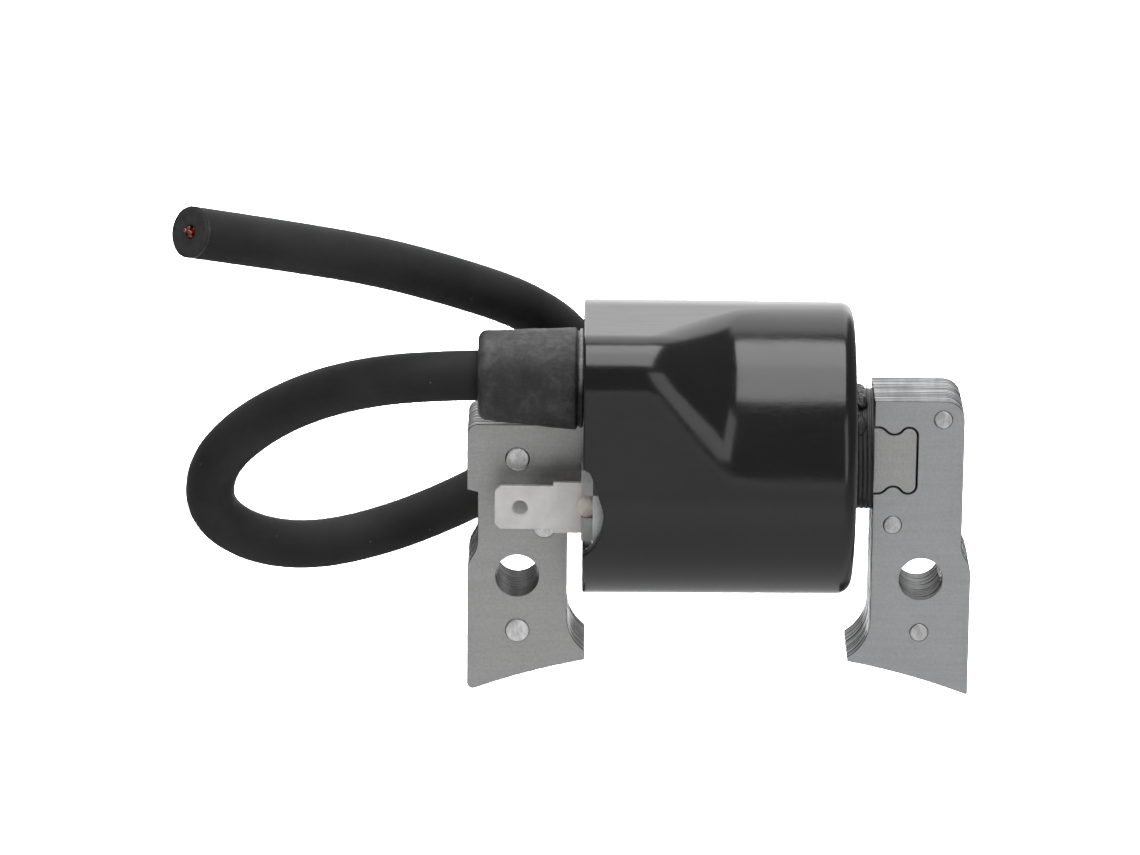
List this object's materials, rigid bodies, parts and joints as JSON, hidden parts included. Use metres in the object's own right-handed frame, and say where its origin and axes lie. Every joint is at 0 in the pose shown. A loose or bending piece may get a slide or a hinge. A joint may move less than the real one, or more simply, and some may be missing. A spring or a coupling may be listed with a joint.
{
  "type": "ignition coil",
  "caption": "Small-engine ignition coil: two-legged laminated core, potted cylindrical black coil, flat kill-switch tab and a looped high-tension lead with a bare cut end.",
  "frame": {"origin": "midway between the two mounting holes, on the rear face of the core that bolts to the engine", "axes": "+X along the line of the mounting holes towards the pressed-on leg, +Y into the engine along the hole axes, +Z away from the flywheel towards the coil"},
  "size_m": [0.1111, 0.0678, 0.0778],
  "materials": {
    "lamination_steel": "flat-ground sheet edges and faces, satin",
    "rivet_steel": "brushed, flush-ground",
    "case_plastic": "moulded, glossy black",
    "potting_resin": "cast, glossy black",
    "bobbin_plastic": "moulded, dull black",
    "winding_copper": "enamelled copper",
    "insulating_film": "wrapped film",
    "white_nylon": "moulded, satin white",
    "tinned_tab": "tin plated, dull",
    "solder_joint": "dull solder over copper",
    "board_laminate": "laminate with varnish",
    "component_body": "moulded component bodies",
    "contact_brass": "turned brass",
    "boot_rubber": "matte moulded rubber, mottled",
    "lead_rubber": "matte extruded rubber",
    "copper_strand": "bare copper strands"
  },
  "bodies": {
    "root": {"left_core_stack": "lamination_steel", "right_pole_stack": "lamination_steel", "left_core_rivets": "rivet_steel", "right_pole_rivets": "rivet_steel", "coil_case": "case_plastic", "potting_resin": "potting_resin", "primary_bobbin": "bobbin_plastic", "primary_winding": "winding_copper", "winding_insulation": "insulating_film", "secondary_bobbin": "bobbin_plastic", "secondary_winding": "winding_copper", "terminal_holder": "white_nylon", "kill_terminal": "tinned_tab", "terminal_solder": "solder_joint", "primary_lead_wire": "winding_copper", "earth_strap": "winding_copper", "circuit_board": "board_laminate", "switching_transistor": "component_body", "control_chip": "component_body", "board_resistors": "component_body", "board_capacitor": "component_body", "board_diode": "component_body", "ht_contact": "contact_brass", "ht_link_wire": "winding_copper", "lead_boot": "boot_rubber", "ht_lead_jacket": "lead_rubber", "ht_lead_conductor": "copper_strand"}
  },
  "joints": []
}
